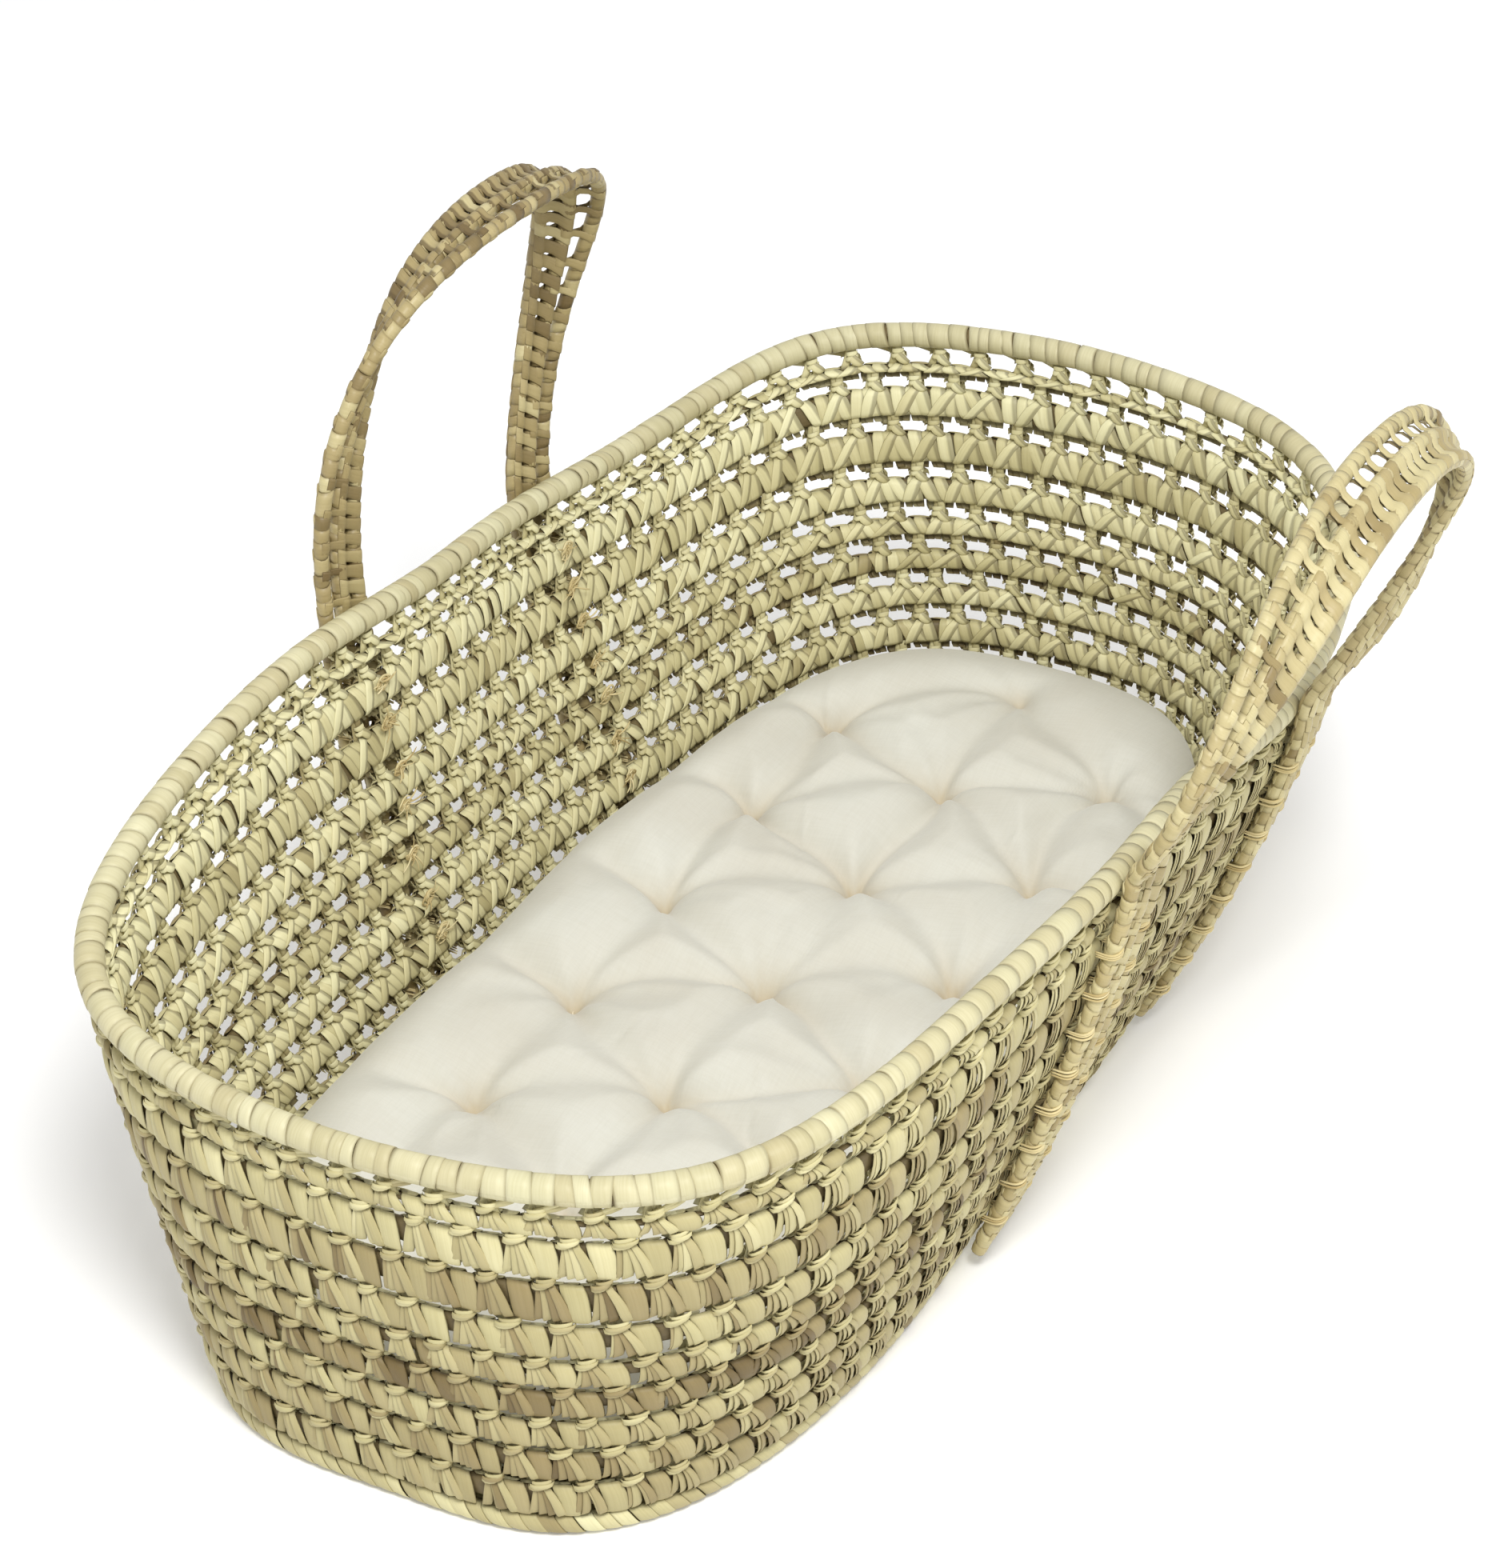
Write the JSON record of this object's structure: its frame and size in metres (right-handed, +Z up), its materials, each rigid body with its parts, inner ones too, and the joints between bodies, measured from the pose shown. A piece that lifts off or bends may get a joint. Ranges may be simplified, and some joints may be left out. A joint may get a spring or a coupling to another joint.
{
  "type": "moses basket",
  "caption": "Oval coiled palm-leaf moses basket with a wrapped rim, two strap handles sewn down its long sides and a loose tufted mattress.",
  "frame": {"origin": "on the underside of the floor, under the middle of the rim", "axes": "+X towards the head end along the length, +Y to the left long side, +Z up"},
  "size_m": [0.8646, 0.5694, 0.4379],
  "materials": {
    "leaf_weave": "satin dry palm leaf",
    "leaf_rim": "satin pale palm leaf",
    "leaf_handle": "satin tan palm leaf",
    "cane": "matt",
    "raffia": "matt fibre",
    "cotton": "matt cotton",
    "filling": "matt wadding",
    "thread": "matt thread"
  },
  "bodies": {
    "basket": {"floor_core": "leaf_weave", "floor_row_1": "leaf_weave", "floor_row_2": "leaf_weave", "floor_row_3": "leaf_weave", "floor_row_4": "leaf_weave", "floor_row_5": "leaf_weave", "floor_row_6": "leaf_weave", "foot_row": "leaf_weave", "wall_row_1": "leaf_weave", "wall_row_2": "leaf_weave", "wall_row_3": "leaf_weave", "wall_row_4": "leaf_weave", "wall_row_5": "leaf_weave", "wall_row_6": "leaf_weave", "wall_row_7": "leaf_weave", "wall_row_8": "leaf_weave", "wall_row_9": "leaf_weave", "rim_hoop": "cane", "rim_wrap": "leaf_rim", "left_near_leg_rods": "leaf_handle", "left_near_leg_links": "leaf_handle", "left_near_leg_ties": "raffia", "left_far_leg_rods": "leaf_handle", "left_far_leg_links": "leaf_handle", "left_far_leg_ties": "raffia", "right_near_leg_rods": "leaf_handle", "right_near_leg_links": "leaf_handle", "right_near_leg_ties": "raffia", "right_far_leg_rods": "leaf_handle", "right_far_leg_links": "leaf_handle", "right_far_leg_ties": "raffia"},
    "left_handle": {"left_handle_outer_rod": "leaf_handle", "left_handle_middle_rod": "leaf_handle", "left_handle_inner_rod": "leaf_handle", "left_handle_links": "leaf_handle"},
    "right_handle": {"right_handle_outer_rod": "leaf_handle", "right_handle_middle_rod": "leaf_handle", "right_handle_inner_rod": "leaf_handle", "right_handle_links": "leaf_handle"},
    "mattress": {"mattress_cover": "cotton", "mattress_filling": "filling", "mattress_tufts": "thread"}
  },
  "joints": [
    {"name": "left_handle_fold", "type": "hinge", "parent": "basket", "child": "left_handle", "pos_m": [0.046, 0.23883, 0.2425], "axis": [-0.9917, -0.0128, 0.1277], "range_deg": [-56, 79]},
    {"name": "right_handle_fold", "type": "hinge", "parent": "basket", "child": "right_handle", "pos_m": [0.02, -0.25096, 0.24474], "axis": [0.9929, 0.0047, -0.1191], "range_deg": [-81, 51]},
    {"name": "mattress_lift", "type": "slide", "parent": "basket", "child": "mattress", "axis": [0, 0, 1], "range_m": [0, 0.45]}
  ]
}
